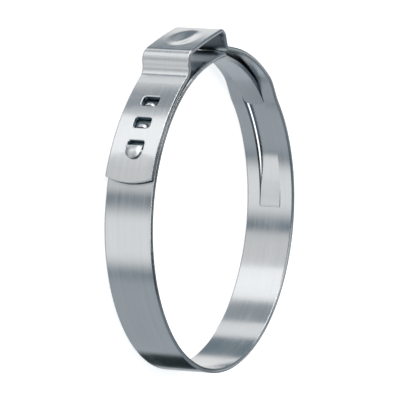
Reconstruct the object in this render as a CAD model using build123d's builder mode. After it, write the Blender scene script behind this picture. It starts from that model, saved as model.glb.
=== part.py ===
from build123d import *

import os
from math import cos, degrees, radians, sin, sqrt

# Ear hose clamp: one strip of stainless steel, wound once and a third round the hose.
# It starts as a narrow tongue, widens under the ear, goes once round as a plain band, splits
# into two side rails and a raised roof over the tongue, climbs over the tongue as a full-width
# band, folds up into the ear and ends in an overlap, whose windows are caught by hooks lanced
# from the layer below. The tongue fills the groove, so the bore is smooth all round.
#
# The bore's axis is +Z, the lower rim lies in the plane z = 0 and the ear stands at +Y.
# Angles are in degrees, anticlockwise from +X as seen from +Z. Lengths are in millimetres.

os.makedirs("parts", exist_ok=True)

# Strip
strip_width = 7.0
strip_thickness = 0.6
bore_radius = 20.5
edge_break = 0.2

# Tongue and groove
tongue_width = 2.9
slit_width = 0.1
tongue_tip_angle = 27.0
tongue_corner_radius = 0.9
shoulder_x = 5.0
groove_end_angle = -15.6
roof_full_height_angle = 5.0
roof_height = 0.82
kink_low_angle = 28.0
kink_high_angle = 39.5
climb_height = 0.84

# Bridge under the ear, where the inner layer stands off the hose and narrows to the tongue
bridge_start_angle = 104.0
shoulder_y = 20.62
tongue_seat_angle = 61.6

# Ear, measured on the middle of the sheet
ear_half_width = 5.5
ear_left_top = 23.8
ear_right_top = 23.98
ear_crown = 24.12
ear_crown_bend = 80.0
ear_lean = 0.35
right_foot_bend = 0.8
right_shoulder_bend = 1.0
left_shoulder_bend = 1.4
left_foot_bend = 1.5
climb_middle_height = 0.93
climb_end_angle = 69.0
climb_end_height = 1.05
overlap_start_angle = 111.0
overlap_start_height = 0.9

# Dimple pressed into the ear's top
dimple_length = 6.2
dimple_width = 3.0
dimple_depth = 0.32
dimple_rim_radius = 4.5

# Overlap, its windows and its end
overlap_middle_angle = 130.0
overlap_middle_height = 0.76
overlap_end_angle = 151.2
overlap_end_height = 0.98
end_arc_radius = 9.0
window_angles = (119.6, 128.8, 138.0)
window_width = 2.36
window_length = 1.62
window_corner_radius = 0.4
window_edge_break = 0.1
layer_gap = 0.06

# Catches: half domes lanced from the inner layer, one in each of the first two windows
catch_radius = 1.0
catch_wall = 0.5
catch_sink = 0.16
catch_clearance = 0.1

# Guide hook: a spoon-shaped tab that comes up through the last window and over the overlap
guide_width = 2.26
guide_thickness = 0.45
guide_root_angle = 136.85
guide_root_bend = 0.45
guide_rise = 78.0
guide_crest_height = 1.43
guide_crest_bend = 0.38
guide_back_length = 1.28
guide_crown_radius = 1.9
guide_crown_setback = 0.85
guide_opening_end_angle = 145.0

# Values that follow from the dimensions above
neutral_radius = bore_radius + strip_thickness / 2
outer_radius = bore_radius + strip_thickness
rail_width = (strip_width - tongue_width) / 2 - slit_width
tongue_side = (strip_width - tongue_width) / 2
mid_width = strip_width / 2
tool_reach = 3.0
window_rim_radius = neutral_radius + (overlap_start_height + overlap_end_height) / 2


def at(radius, angle):
    """A point of the side view, by its distance from the bore's axis and its angle."""
    return Vector(radius * cos(radians(angle)), radius * sin(radians(angle)))


def along(angle):
    """The anticlockwise direction round the bore at an angle."""
    return Vector(-sin(radians(angle)), cos(radians(angle)))


def side_radius(point):
    """The distance of a point from the bore's axis."""
    return Vector(point.X, point.Y).length


def facing(angle, radius):
    """A plane at mid width that faces outwards, its x axis anticlockwise and y axis along +Z."""
    origin = at(radius, angle) + Vector(0, 0, mid_width)
    return Plane(origin=origin, x_dir=along(angle), z_dir=at(1, angle))


# The middle line of the sheet in the side view, from the tongue's tip to the overlap's end
with BuildLine() as band_line:
    bridge = TangentArc(at(neutral_radius, bridge_start_angle), (shoulder_x, shoulder_y),
                        tangent=-along(bridge_start_angle))
    CenterArc((0, 0), neutral_radius, bridge_start_angle,
              360 + groove_end_angle - bridge_start_angle)

with BuildLine() as tongue_line:
    Spline(bridge @ 1, at(neutral_radius, tongue_seat_angle),
           tangents=(bridge % 1, -along(tongue_seat_angle)))
    CenterArc((0, 0), neutral_radius, tongue_tip_angle, tongue_seat_angle - tongue_tip_angle)

with BuildLine() as climb_line:
    climb = ThreePointArc(
        at(neutral_radius + climb_height, kink_high_angle),
        at(neutral_radius + climb_middle_height, (kink_high_angle + climb_end_angle) / 2),
        at(neutral_radius + climb_end_height, climb_end_angle),
    )
    overlap = ThreePointArc(
        at(neutral_radius + overlap_start_height, overlap_start_angle),
        at(neutral_radius + overlap_middle_height, overlap_middle_angle),
        at(neutral_radius + overlap_end_height, overlap_end_angle),
    )
    climb_run = (climb @ 1).X - ear_half_width
    overlap_run = -(overlap @ 0).X - ear_half_width
    right_foot = climb @ 1 + (climb % 1) * (climb_run / -(climb % 1).X)
    left_foot = overlap @ 0 - (overlap % 0) * (overlap_run / -(overlap % 0).X)
    FilletPolyline(
        climb @ 1,
        right_foot,
        (ear_half_width - ear_lean, ear_right_top),
        (0, ear_crown),
        (-ear_half_width, ear_left_top),
        left_foot,
        overlap @ 0,
        radius=(right_foot_bend, right_shoulder_bend, ear_crown_bend, left_shoulder_bend,
                left_foot_bend),
    )

with BuildLine() as rail_line:
    CenterArc((0, 0), neutral_radius, groove_end_angle, kink_low_angle - groove_end_angle)
    Spline(at(neutral_radius, kink_low_angle), climb @ 0,
           tangents=(along(kink_low_angle), climb % 0))

with BuildLine() as roof_line:
    roof = TangentArc(climb @ 0, at(neutral_radius + roof_height, roof_full_height_angle),
                      tangent=-(climb % 0))
    Spline(at(neutral_radius, groove_end_angle), roof @ 1,
           tangents=(along(groove_end_angle), -(roof % 1)))

# Catch: half a dome that stands on the sheet, and the half round pocket punched up under it,
# which the slit along the mouth leaves open
with BuildPart() as catch_dome:
    Sphere(catch_radius)
    Box(catch_radius, 2 * catch_radius, catch_radius,
        align=(Align.MAX, Align.CENTER, Align.MIN), mode=Mode.INTERSECT)

with BuildPart() as catch_pocket:
    Sphere(catch_radius - catch_wall)
    Cylinder(catch_radius - catch_wall, strip_thickness,
             align=(Align.CENTER, Align.CENTER, Align.MAX))
    with Locations((slit_width, 0, 0)):
        Box(catch_radius, 2 * catch_radius, 2 * strip_thickness,
            align=(Align.MAX, Align.CENTER, Align.CENTER), mode=Mode.INTERSECT)

# Guide hook: its sheet in the side view, cut to its plan outline and rounded to a spoon on top
with BuildLine() as guide_line:
    root_bend = JernArc(at(neutral_radius, guide_root_angle), along(guide_root_angle),
                        guide_root_bend, -guide_rise)
    guide_straight = (
        guide_crest_height - (guide_root_bend + guide_crest_bend) * (1 - cos(radians(guide_rise)))
    ) / sin(radians(guide_rise))
    riser = Line(root_bend @ 1, root_bend @ 1 + (root_bend % 1) * guide_straight)
    crest_bend = JernArc(riser @ 1, riser % 1, guide_crest_bend, guide_rise)
    guide_back = Line(crest_bend @ 1, crest_bend @ 1 + (crest_bend % 1) * guide_back_length)

guide_middle_angle = (guide_root_angle + guide_opening_end_angle) / 2
guide_length = radians(guide_opening_end_angle - guide_root_angle) * neutral_radius
guide_outward = Vector((guide_back % 1).Y, -(guide_back % 1).X)
guide_tip = Plane(origin=guide_back @ 1 + Vector(0, 0, mid_width), x_dir=guide_back % 1,
                  z_dir=guide_outward)

with BuildPart(guide_tip.offset(guide_thickness / 2)) as guide_form:
    with Locations((-guide_crown_setback, 0, -guide_crown_radius)):
        Sphere(guide_crown_radius)
    with Locations((0, 0, -guide_thickness)):
        Box(4 * guide_length, strip_width, tool_reach,
            align=(Align.CENTER, Align.CENTER, Align.MAX))

with BuildPart() as guide_hook:
    with BuildSketch(Plane.XY.offset(mid_width - guide_width / 2)) as guide_side:
        trace(guide_line.line, line_width=guide_thickness)
    extrude(amount=guide_width)
    with BuildSketch(guide_tip) as guide_plan:
        with Locations((-guide_length, 0)):
            SlotOverall(2 * guide_length, guide_width)
    extrude(amount=tool_reach, both=True, mode=Mode.INTERSECT)
    add(guide_form.part, mode=Mode.INTERSECT)

# Dimple: a spindle pressed into the sheet from above, and the same spindle one sheet thicker,
# of which only what bulges below the sheet is kept
crown_arc = climb_line.edges().filter_by(GeomType.CIRCLE).sort_by(lambda edge: edge.radius)[-1]
crown_middle = crown_arc @ 0.5
dimple_floor = crown_middle.Y + strip_thickness / 2 - dimple_depth
dimple_long_radius = (dimple_length**2 / 4 + dimple_depth**2) / (2 * dimple_depth)
dimple_cross_radius = (dimple_width**2 / 4 + dimple_depth**2) / (2 * dimple_depth)
dimple_axis = Axis((crown_middle.X, dimple_floor + dimple_cross_radius, mid_width), (1, 0, 0))


def dimple_spindle(sheet_offset):
    """The spindle's half section, which stands off from the pressed surface by an offset."""
    long_radius = dimple_long_radius + sheet_offset
    cross_radius = dimple_cross_radius + sheet_offset
    half_length = sqrt(long_radius**2 - (long_radius - cross_radius) ** 2)
    with BuildSketch(Plane(origin=dimple_axis.position)) as section:
        with BuildLine():
            belly = ThreePointArc((-half_length, 0), (0, -cross_radius), (half_length, 0))
            Line(belly @ 0, belly @ 1)
        make_face()
    return section.sketch


with BuildPart() as dimple_press:
    add(dimple_spindle(0))
    revolve(axis=dimple_axis)

with BuildPart() as dimple_bulge:
    add(dimple_spindle(strip_thickness))
    revolve(axis=dimple_axis)
    with Locations((0, crown_middle.Y - strip_thickness / 2, mid_width)):
        Box(2 * ear_half_width, dimple_depth * 2, strip_width,
            align=(Align.CENTER, Align.MAX, Align.CENTER), mode=Mode.INTERSECT)

with BuildPart() as clamp_band:
    with BuildSketch() as full_width_side:
        trace(band_line.line, line_width=strip_thickness)
        trace(climb_line.line, line_width=strip_thickness)
    extrude(amount=strip_width)

    with BuildSketch(Plane.XY, Plane.XY.offset(strip_width - rail_width)) as rails_side:
        trace(rail_line.line, line_width=strip_thickness)
    extrude(amount=rail_width)

    with BuildSketch(Plane.XY.offset(tongue_side)) as middle_side:
        trace(roof_line.line, line_width=strip_thickness)
        trace(tongue_line.line, line_width=strip_thickness)
    extrude(amount=tongue_width)

    # Rounded corners on the tongue's tip
    tip_plane = Plane(origin=at(neutral_radius, tongue_tip_angle), z_dir=along(tongue_tip_angle))
    tip_edges = (
        clamp_band.edges()
        .filter_by(lambda edge: abs(tip_plane.to_local_coords(edge.center()).Z) < layer_gap)
        .filter_by(Axis.Z, reverse=True)
    )
    fillet(tip_edges, tongue_corner_radius)

    # Bowed end of the overlap
    with BuildSketch(facing(overlap_end_angle, outer_radius + layer_gap)) as end_trim:
        Rectangle(end_arc_radius / 2, 2 * strip_width)
        with Locations((-end_arc_radius, 0)):
            Circle(end_arc_radius, mode=Mode.SUBTRACT)
    extrude(amount=tool_reach, mode=Mode.SUBTRACT)

    # Long edges of the strip, broken along both rims
    rims = clamp_band.faces().filter_by(Axis.Z).group_by(Axis.Z)
    chamfer(rims[0].edges() + rims[-1].edges(), edge_break)

    # Dimple in the ear: pressed in on top and bulging below, by one sheet's thickness
    add(dimple_bulge.part)
    add(dimple_press.part, mode=Mode.SUBTRACT)
    fillet(clamp_band.edges(Select.LAST), dimple_rim_radius)

    # Windows through the overlap, with the broken edge that a punch leaves
    with BuildSketch(*[facing(angle, outer_radius + layer_gap) for angle in window_angles]):
        RectangleRounded(window_length, window_width, window_corner_radius)
    extrude(amount=tool_reach, mode=Mode.SUBTRACT)
    punched_edges = clamp_band.edges(Select.LAST).filter_by(
        lambda edge: side_radius(edge.center()) > window_rim_radius
        and abs(side_radius(edge @ 1) - side_radius(edge @ 0)) < strip_thickness / 2
    )
    chamfer(punched_edges, window_edge_break)

    # Catches, each with its mouth just short of the window's far edge
    for window_angle in window_angles[:2]:
        mouth_offset = window_length / 2 - catch_clearance
        mouth_angle = window_angle + degrees(mouth_offset / outer_radius)
        with Locations(facing(mouth_angle, outer_radius - catch_sink)):
            add(catch_dome.part)
            add(catch_pocket.part, mode=Mode.SUBTRACT)

    # Guide hook, and the opening that its tab leaves in the inner layer
    with BuildSketch(facing(guide_middle_angle, outer_radius + layer_gap)) as guide_opening:
        Rectangle(guide_length, guide_width)
    extrude(amount=-strip_thickness - 3 * layer_gap, mode=Mode.SUBTRACT)
    add(guide_hook.part)

clamp_band.part.label = "clamp_band"
export_step(clamp_band.part, "parts/clamp_band.step")
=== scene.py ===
import math

import bpy
from mathutils import Matrix, Vector

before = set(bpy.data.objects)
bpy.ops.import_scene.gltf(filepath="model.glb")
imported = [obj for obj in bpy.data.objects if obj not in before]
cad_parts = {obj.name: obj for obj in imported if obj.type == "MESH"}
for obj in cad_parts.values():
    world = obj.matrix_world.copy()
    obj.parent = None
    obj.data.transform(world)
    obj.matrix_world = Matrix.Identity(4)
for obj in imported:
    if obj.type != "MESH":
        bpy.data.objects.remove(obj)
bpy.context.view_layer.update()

# ---------------------------------------------------------------------------
# Clamp band
# One strip of cold-rolled stainless steel, 7 mm by 0.6 mm, slit, pierced and lanced flat, then
# wound, with its ear folded up and its hooks pressed through the windows. Fine rolling lines
# run along its bright faces, and the shear leaves the two long edges duller.
# ---------------------------------------------------------------------------
clamp_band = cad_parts["clamp_band"]

# Where things lie: metres across the strip and out from the bore's axis, degrees round it
STRIP_MIDDLE, STRIP_HALF = 0.0035, 0.0035
SHEAR_START, SHEAR_FULL = 0.00016, 0.00004
GROOVE_ANGLE, GROOVE_REACH, GROOVE_END = 12, 28, 29
SLIT_INNER, SLIT_OUTER = 0.0025, 0.0026
CREASE_ANGLE, CREASE_INNER, CREASE_OUTER = -15.9, 0.00142, 0.00152
CATCH_ANGLES, CATCH_REACH, CATCH_HALF = (120.3, 129.5), 1.5, 0.0011
HOOK_ANGLE, HOOK_REACH, HOOK_HALF = 141.5, 4.2, 0.0012
WINDOW_ANGLES, WINDOW_REACH, WINDOW_HALF = (119.6, 128.8, 138.0), 2.5, 0.0013
WINDOW_FLOOR, OVER_INNER_LAYER, OVER_OVERLAP = 0.02100, 0.02112, 0.02196
WINDOW_WALL_TOP, WINDOW_WALL_FULL = 0.02186, 0.02178
KINK_ANGLE, KINK_INNER, KINK_OUTER = 34, 5, 11
EAR_SIDE_START, EAR_SIDE_FULL = 0.0044, 0.0054
EAR_FOOT_START, EAR_FOOT_FULL = 0.0208, 0.0216

steel_material = bpy.data.materials.new("bright_rolled_steel")
steel_material.use_nodes = True
steel_tree = steel_material.node_tree
steel = steel_tree.nodes["Principled BSDF"]
steel.inputs["Metallic"].default_value = 1.0


def node(tree, kind, inputs=(), **settings):
    """A shader node, whose inputs are given as values or as sockets to link from."""
    made = tree.nodes.new(kind)
    for name, value in settings.items():
        setattr(made, name, value)
    for key, value in dict(inputs).items():
        if isinstance(value, bpy.types.NodeSocket):
            tree.links.new(value, made.inputs[key])
        else:
            made.inputs[key].default_value = value
    return made


def math_node(tree, operation, first, second=0.0):
    """The result of one sum on two values or sockets."""
    return node(tree, "ShaderNodeMath", {0: first, 1: second}, operation=operation).outputs[0]


def away_from(tree, value, centre):
    """How far a value lies from a centre, on either side of it."""
    return math_node(tree, "ABSOLUTE", math_node(tree, "SUBTRACT", value, centre))


def soft_step(tree, value, start, end, low=0.0, high=1.0):
    """A value taken smoothly from low to high as it passes from start to end."""
    return node(
        tree, "ShaderNodeMapRange",
        {"Value": value, "From Min": start, "From Max": end, "To Min": low, "To Max": high},
        interpolation_type="SMOOTHSTEP").outputs["Result"]


def mixed_colour(tree, factor, first, second):
    """One colour passing into another as the factor goes from 0 to 1."""
    return node(tree, "ShaderNodeMix", {0: factor, 6: first, 7: second},
                data_type="RGBA").outputs[2]


def stretched_noise(tree, coordinates, scale, detail):
    """Noise whose grain is as many per metre as the scale says along each axis."""
    place = node(tree, "ShaderNodeMapping", {"Vector": coordinates, "Scale": scale})
    return node(tree, "ShaderNodeTexNoise",
                {"Vector": place.outputs[0], "Scale": 1.0, "Detail": detail}).outputs["Fac"]


coordinates = node(steel_tree, "ShaderNodeTexCoord").outputs["Object"]
axes = node(steel_tree, "ShaderNodeSeparateXYZ", {0: coordinates})
from_middle = away_from(steel_tree, axes.outputs[2], STRIP_MIDDLE)

# Rolling lines run along the strip, so they are long round the ring and close across it
FINE_LINE_GRAIN, BROAD_LINE_GRAIN = (60, 60, 4200), (35, 35, 1300)
CLOUD_GRAIN, HANDLING_GRAIN, WAVE_GRAIN = (160, 160, 160), (420, 420, 420), (120, 120, 90)

fine_lines = stretched_noise(steel_tree, coordinates, FINE_LINE_GRAIN, 3)
broad_lines = stretched_noise(steel_tree, coordinates, BROAD_LINE_GRAIN, 2)
cloudiness = stretched_noise(steel_tree, coordinates, CLOUD_GRAIN, 3)
handling = stretched_noise(steel_tree, coordinates, HANDLING_GRAIN, 5)
waviness = stretched_noise(steel_tree, coordinates, WAVE_GRAIN, 1)

# Sheared long edges, and the bright line that wear leaves on every corner. A corner shows as a
# turn between the rounded normal and the true one, given here by its cosine.
CORNER_RADIUS, CORNER_STARTS, CORNER_FULL = 0.00016, 0.96, 0.84

sheared = soft_step(steel_tree, from_middle, STRIP_HALF - SHEAR_START, STRIP_HALF - SHEAR_FULL)
rounded = node(steel_tree, "ShaderNodeBevel", {"Radius": CORNER_RADIUS}, samples=6).outputs[0]
true_normal = node(steel_tree, "ShaderNodeNewGeometry").outputs["Normal"]
corner_turn = node(steel_tree, "ShaderNodeVectorMath", {0: rounded, 1: true_normal},
                   operation="DOT_PRODUCT").outputs["Value"]
worn_corner = soft_step(steel_tree, corner_turn, CORNER_STARTS, CORNER_FULL)

# The two slits beside the groove are cut, not rolled, so their edges stay sharp
turn = math_node(steel_tree, "ARCTAN2", axes.outputs[1], axes.outputs[0])
from_groove = away_from(steel_tree, turn, math.radians(GROOVE_ANGLE))
groove_run = soft_step(steel_tree, from_groove, math.radians(GROOVE_END),
                       math.radians(GROOVE_REACH))
groove_inside = soft_step(steel_tree, from_middle, SLIT_OUTER, SLIT_INNER)
slit_zone = math_node(steel_tree, "MULTIPLY", groove_run, groove_inside)
edge_normal = node(steel_tree, "ShaderNodeMix", {0: slit_zone, 4: rounded, 5: true_normal},
                   data_type="VECTOR").outputs[1]

# Crease pressed across the raised middle where the groove ends, its half width in radians
CREASE_EDGE, CREASE_CORE = 0.007, 0.001

from_crease = away_from(steel_tree, turn, math.radians(CREASE_ANGLE))
crease_line = soft_step(steel_tree, from_crease, CREASE_EDGE, CREASE_CORE)
crease_width = soft_step(steel_tree, from_middle, CREASE_OUTER, CREASE_INNER)
crease = math_node(steel_tree, "MULTIPLY", crease_line, crease_width)

# The two catches and the hook, which come up inside the windows, kept out of the painted shade
FADE_ANGLE, FADE_WIDTH, FADE_HEIGHT = 0.1, 0.0001, 0.00005

radius = math_node(steel_tree, "SQRT", math_node(
    steel_tree, "ADD", math_node(steel_tree, "POWER", axes.outputs[0], 2.0),
    math_node(steel_tree, "POWER", axes.outputs[1], 2.0)))


def raised_at(angle, reach, half_width, height):
    """Where the metal stands above a height, within a reach of an angle and of the middle."""
    from_angle = away_from(steel_tree, turn, math.radians(angle))
    near = soft_step(
        steel_tree, from_angle, math.radians(reach + FADE_ANGLE), math.radians(reach))
    inside = soft_step(steel_tree, from_middle, half_width + FADE_WIDTH, half_width)
    above = soft_step(steel_tree, radius, height, height + FADE_HEIGHT)
    return math_node(steel_tree, "MULTIPLY", math_node(steel_tree, "MULTIPLY", near, inside),
                     above)


first_catch, second_catch = [
    raised_at(angle, CATCH_REACH, CATCH_HALF, OVER_INNER_LAYER) for angle in CATCH_ANGLES]
catches = math_node(steel_tree, "ADD", first_catch, second_catch)
hook = raised_at(HOOK_ANGLE, HOOK_REACH, HOOK_HALF, OVER_OVERLAP)
catches_and_hook = math_node(steel_tree, "ADD", catches, hook)

# Painted shade on the walls and floors of the windows, fuller below their top
first_window, second_window, third_window = [
    raised_at(angle, WINDOW_REACH, WINDOW_HALF, WINDOW_FLOOR) for angle in WINDOW_ANGLES]
windows = math_node(steel_tree, "ADD", first_window,
                    math_node(steel_tree, "ADD", second_window, third_window))
window_depth = math_node(steel_tree, "MULTIPLY", windows,
                         soft_step(steel_tree, radius, WINDOW_WALL_TOP, WINDOW_WALL_FULL))

# Painted shade: the colour goes blue-grey in crevices, where little light comes, and in windows
CREVICE_REACH, SHADE_STARTS, SHADE_FULL, WINDOW_SHADE = 0.003, 0.72, 0.18, 0.9

open_sky = node(steel_tree, "ShaderNodeAmbientOcclusion", {"Distance": CREVICE_REACH},
                samples=8, only_local=True).outputs["AO"]
sheltered = math_node(steel_tree, "MAXIMUM",
                      soft_step(steel_tree, open_sky, SHADE_STARTS, SHADE_FULL),
                      math_node(steel_tree, "MULTIPLY", window_depth, WINDOW_SHADE))
crevice_shade = math_node(steel_tree, "MULTIPLY", sheltered,
                    math_node(steel_tree, "SUBTRACT", 1.0, catches_and_hook))

# Colour: the rolled faces, then the sheared edges, the worn corners and the painted shade over
# them
ROLLED_STEEL_DARKER = (0.585, 0.618, 0.648, 1)
ROLLED_STEEL_LIGHTER = (0.640, 0.668, 0.690, 1)
SHEARED_STEEL = (0.50, 0.53, 0.56, 1)
WORN_STEEL, CORNER_WEAR = (0.74, 0.75, 0.76, 1), 0.4
PAINTED_SHADE_GREY = (0.17, 0.235, 0.27, 1)

lines = math_node(steel_tree, "ADD",
                  math_node(steel_tree, "MULTIPLY", fine_lines, 0.5),
                  math_node(steel_tree, "MULTIPLY", broad_lines, 0.5))
sheen = math_node(steel_tree, "ADD",
                  math_node(steel_tree, "MULTIPLY", lines, 0.7),
                  math_node(steel_tree, "MULTIPLY", cloudiness, 0.3))
face_colour = mixed_colour(steel_tree, soft_step(steel_tree, sheen, 0.3, 0.7),
                           ROLLED_STEEL_DARKER, ROLLED_STEEL_LIGHTER)
edge_colour = mixed_colour(steel_tree, sheared, face_colour, SHEARED_STEEL)
corner_wear = math_node(steel_tree, "MULTIPLY", worn_corner,
                        math_node(steel_tree, "SUBTRACT", CORNER_WEAR, slit_zone))
worn_colour = mixed_colour(steel_tree, corner_wear, edge_colour, WORN_STEEL)
# Painted shade: blue-grey laid over the crevices and the windows
shaded_crevice_colour = mixed_colour(steel_tree, crevice_shade, worn_colour, PAINTED_SHADE_GREY)
steel_tree.links.new(shaded_crevice_colour, steel.inputs["Base Color"])

# Roughness: clouds on the faces, and what handling marks, rolling lines and shearing add
CLEAR_ROUGHNESS, CLOUDED_ROUGHNESS = 0.115, 0.165
MARKS_ADD, LINES_ADD, SHEAR_ADDS, FORMING_ADDS, SHADE_ROUGHNESS_ADDS = 0.05, 0.04, 0.10, 0.19, 0.2

face_roughness = math_node(
    steel_tree, "ADD",
    soft_step(steel_tree, cloudiness, 0.3, 0.7, CLEAR_ROUGHNESS, CLOUDED_ROUGHNESS),
    soft_step(steel_tree, handling, 0.55, 0.75, 0.0, MARKS_ADD))
line_roughness = math_node(
    steel_tree, "ADD", face_roughness,
    soft_step(steel_tree, lines, 0.35, 0.65, 0.0, LINES_ADD))
edge_roughness = math_node(
    steel_tree, "ADD", line_roughness, math_node(steel_tree, "MULTIPLY", sheared, SHEAR_ADDS))

# The folding die dulls the ear's two sides, and the kink in the rails a little
above_band = soft_step(steel_tree, axes.outputs[1], EAR_FOOT_START, EAR_FOOT_FULL)
ear_side = soft_step(steel_tree, math_node(steel_tree, "ABSOLUTE", axes.outputs[0]),
                     EAR_SIDE_START, EAR_SIDE_FULL)
from_kink = away_from(steel_tree, turn, math.radians(KINK_ANGLE))
kink = soft_step(steel_tree, from_kink, math.radians(KINK_OUTER), math.radians(KINK_INNER))
formed = math_node(steel_tree, "MAXIMUM", math_node(steel_tree, "MAXIMUM", kink, catches_and_hook),
                   math_node(steel_tree, "MULTIPLY", above_band, ear_side))
dulled = math_node(steel_tree, "ADD",
                   math_node(steel_tree, "MULTIPLY", formed, FORMING_ADDS),
                   math_node(steel_tree, "MULTIPLY", crevice_shade, SHADE_ROUGHNESS_ADDS))
steel_tree.links.new(math_node(steel_tree, "ADD", edge_roughness, dulled),
                     steel.inputs["Roughness"])

# Relief: the sheet's slight waviness, the rolling lines and the crease, by their heights
WAVE_HEIGHT, LINE_HEIGHT, CREASE_HEIGHT = 0.00002, 0.0000007, 0.00003

wavy_surface = node(steel_tree, "ShaderNodeBump",
                    {"Height": waviness, "Distance": WAVE_HEIGHT, "Normal": edge_normal})
lined_surface = node(steel_tree, "ShaderNodeBump",
                     {"Height": lines, "Distance": LINE_HEIGHT,
                      "Normal": wavy_surface.outputs[0]})
creased_surface = node(steel_tree, "ShaderNodeBump",
                       {"Height": crease, "Distance": CREASE_HEIGHT,
                        "Normal": lined_surface.outputs[0]})
steel_tree.links.new(creased_surface.outputs[0], steel.inputs["Normal"])

clamp_band.data.materials.clear()
clamp_band.data.materials.append(steel_material)

# ---------------------------------------------------------------------------
# Table
# A sheet of white studio paper under the clamp, which glows a little so that it stays pale and
# takes only a faint shadow. It is left out of the reflections, which the cards make.
# ---------------------------------------------------------------------------
FLOOR_HALF = 4.0
PAPER_WHITE = (0.8, 0.8, 0.8, 1)
PAPER_GLOW = 0.74

floor_mesh = bpy.data.meshes.new("floor")
floor_mesh.from_pydata(
    [(-FLOOR_HALF, -FLOOR_HALF, 0), (FLOOR_HALF, -FLOOR_HALF, 0),
     (FLOOR_HALF, FLOOR_HALF, 0), (-FLOOR_HALF, FLOOR_HALF, 0)], [], [(0, 1, 2, 3)])
floor = bpy.data.objects.new("floor", floor_mesh)
bpy.context.scene.collection.objects.link(floor)
floor.visible_glossy = False
paper = bpy.data.materials.new("white_paper")
paper.use_nodes = True
paper_shader = paper.node_tree.nodes["Principled BSDF"]
paper_shader.inputs["Base Color"].default_value = PAPER_WHITE
paper_shader.inputs["Roughness"].default_value = 0.9
paper_shader.inputs["Specular IOR Level"].default_value = 0.0
paper_shader.inputs["Emission Color"].default_value = (1, 1, 1, 1)
paper_shader.inputs["Emission Strength"].default_value = PAPER_GLOW
floor_mesh.materials.append(paper)

# ---------------------------------------------------------------------------
# Reflection cards
# White, grey and black cards with feathered edges, hung round the table, over it and below its
# level. Only the polished steel sees them: they make the light and dark bands round the ring.
# ---------------------------------------------------------------------------
CARD_DISTANCE = 0.6
BELOW = -26.8
BLUE_GREY = (0.93, 1.0, 1.05)
WARM_WHITE = (1.02, 1.0, 0.98)
COLD_BLACK = (0.7, 1, 1.1)
FACING_UP = 90
CLOSE_FEATHER = 0.35


def facing(azimuth, elevation):
    """The turn that points a card's face in a direction given in degrees."""
    return (Matrix.Rotation(math.radians(azimuth), 4, "Z")
            @ Matrix.Rotation(math.radians(-elevation), 4, "Y"))


def hang_card(name, place, half_width, half_height, level, feather, tint):
    """A glowing card with feathered edges, in its place, which only reflections see."""
    mesh = bpy.data.meshes.new(name)
    mesh.from_pydata(
        [(0, half_width, -half_height), (0, -half_width, -half_height),
         (0, -half_width, half_height), (0, half_width, half_height)], [], [(0, 1, 2, 3)])
    card = bpy.data.objects.new(name, mesh)
    bpy.context.scene.collection.objects.link(card)
    card.matrix_world = place
    glow = bpy.data.materials.new(card.name)
    glow.use_nodes = True
    tree = glow.node_tree
    tree.nodes.clear()
    spot = node(tree, "ShaderNodeSeparateXYZ",
                {0: node(tree, "ShaderNodeTexCoord").outputs["Object"]})
    across = math_node(tree, "DIVIDE", math_node(tree, "ABSOLUTE", spot.outputs[1]), half_width)
    upward = math_node(tree, "DIVIDE", math_node(tree, "ABSOLUTE", spot.outputs[2]), half_height)
    strength = math_node(tree, "MULTIPLY", soft_step(tree, across, 1.0, 1.0 - feather),
                         soft_step(tree, upward, 1.0, 1.0 - feather))
    emission = node(tree, "ShaderNodeEmission", {"Color": (*tint, 1), "Strength": level})
    clear = node(tree, "ShaderNodeBsdfTransparent")
    blend = node(tree, "ShaderNodeMixShader",
                 {0: strength, 1: clear.outputs[0], 2: emission.outputs[0]})
    node(tree, "ShaderNodeOutputMaterial", {0: blend.outputs[0]})
    glow.cycles.emission_sampling = "NONE"
    card.data.materials.append(glow)
    card.visible_camera = False
    card.visible_diffuse = False
    card.visible_shadow = False
    card.visible_transmission = False


def soft_card(name, azimuth, elevation, width, height, level, feather=0.4, tint=WARM_WHITE):
    """A card at the full distance, by its direction and its spread in degrees."""
    hang_card(name,
              facing(azimuth, elevation) @ Matrix.Translation((CARD_DISTANCE, 0, 0)),
              CARD_DISTANCE * math.tan(math.radians(width / 2)),
              CARD_DISTANCE * math.tan(math.radians(height / 2)), level, feather, tint)


def close_card(name, centre, azimuth, elevation, half_width, half_height, level):
    """A black card near the clamp, by its centre and its half sizes in metres."""
    hang_card(name, Matrix.Translation(centre) @ facing(azimuth, elevation),
              half_width, half_height, level, CLOSE_FEATHER, COLD_BLACK)


# Round the foot of the table, seen in the walls of the ring
soft_card("card_back_right", 355, -32, 58, 46, 1.03, 0.3)
soft_card("card_slot", 63, BELOW, 24, 60, 1.05, 0.5)
soft_card("card_slot_step", 79, BELOW, 30, 60, 0.42, 0.5, BLUE_GREY)
soft_card("card_key", 107, BELOW, 42, 62, 1.35, 0.5)
soft_card("card_key_step", 135, BELOW, 30, 60, 0.82, 0.35)
soft_card("card_side", 181, BELOW, 50, 60, 1.02, 0.6)
soft_card("card_grey_left", 249, BELOW, 78, 60, 0.48, 0.3, BLUE_GREY)
soft_card("card_grey_front", 303, BELOW, 48, 60, 0.55, 0.45, BLUE_GREY)
soft_card("card_under", 340, -66, 80, 30, 0.85, 0.4)

# Above the table, seen in the domes, the hook and the rims, and two low ones in the dimple
soft_card("card_overhead", 105, 60, 46, 36, 0.85, 0.4)
soft_card("card_upper_side", 150, 28, 110, 30, 1.9, 0.45)
soft_card("card_behind", 340, 40, 80, 40, 0.75, 0.35)
soft_card("card_behind_gap", 340, 4, 60, 22, 0.06, 0.3, COLD_BLACK)
soft_card("card_dimple", 36, -39, 24, 14, 2.8, 0.6)
soft_card("card_dimple_fill", 31, -13, 20, 18, 0.45, 0.5, BLUE_GREY)
soft_card("card_spark", 168, 42, 34, 22, 3.0, 0.6)
soft_card("card_domes", 84, 20, 70, 44, 3.0, 0.5)

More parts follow.
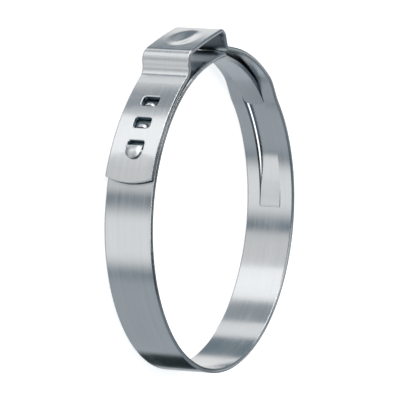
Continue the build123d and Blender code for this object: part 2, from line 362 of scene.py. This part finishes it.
# Black and close: one below the lowest part of the band, whose outside it darkens, and four
# over the ring, on its left and over the ear's foot, which the near rim sees on that side
close_card("black_card_low", (0.0045, -0.042, -0.0095), -90, 0, 0.0135, 0.009, 0.03)
close_card("black_card_rim", (-0.0002, -0.0063, 0.0148), -20, 0, 0.019, 0.0078, 0.03)
close_card("black_card_left", (-0.1785, -0.0833, 0.154), 205, 38, 0.081, 0.122, 0.08)
close_card("black_card_above", (-0.039, 0.008, 0.052), 170, FACING_UP, 0.062, 0.02, 0.08)
close_card("black_card_ear", (0.0, 0.040, 0.027), 293, FACING_UP, 0.018, 0.0095, 0.08)

# ---------------------------------------------------------------------------
# Light
# A dim blue-grey room, and one large softbox high over the table.
# ---------------------------------------------------------------------------
ROOM_COLOUR = (0.215, 0.262, 0.295, 1)
SOFTBOX_PLACE = (0.1, 0.2, 0.7)

world = bpy.data.worlds.new("studio")
bpy.context.scene.world = world
world.use_nodes = True
world.node_tree.nodes["Background"].inputs["Color"].default_value = ROOM_COLOUR
world.node_tree.nodes["Background"].inputs["Strength"].default_value = 1.0

softbox_light = bpy.data.lights.new("softbox", "AREA")
softbox_light.shape = "SQUARE"
softbox_light.size = 0.6
softbox_light.energy = 3.0
softbox = bpy.data.objects.new("softbox", softbox_light)
bpy.context.scene.collection.objects.link(softbox)
softbox.location = SOFTBOX_PLACE
softbox.rotation_euler = (-softbox.location).to_track_quat("-Z", "Y").to_euler()
softbox.visible_camera = False
softbox.visible_glossy = False

# ---------------------------------------------------------------------------
# Camera
# A long lens that looks down on the clamp from behind its left shoulder, rolled so that the
# ear comes to the top of the picture.
# ---------------------------------------------------------------------------
CAMERA_PLACE = Vector((-0.7425, 0.2723, 0.4019))
CAMERA_AIM = Vector((0.0, 0.0018, 0.0035))
CAMERA_UP = Vector((0.3152, 0.9474, -0.0558))

camera_data = bpy.data.cameras.new("camera")
camera_data.sensor_width = 36
camera_data.lens = 601
camera_data.clip_start = 0.01
camera = bpy.data.objects.new("camera", camera_data)
bpy.context.scene.collection.objects.link(camera)
look = (CAMERA_AIM - CAMERA_PLACE).normalized()
side = look.cross(CAMERA_UP).normalized()
camera.matrix_world = Matrix.Translation(CAMERA_PLACE) @ Matrix(
    (side, side.cross(look), -look)).transposed().to_4x4()
bpy.context.scene.camera = camera
bpy.context.scene.view_settings.view_transform = "Standard"
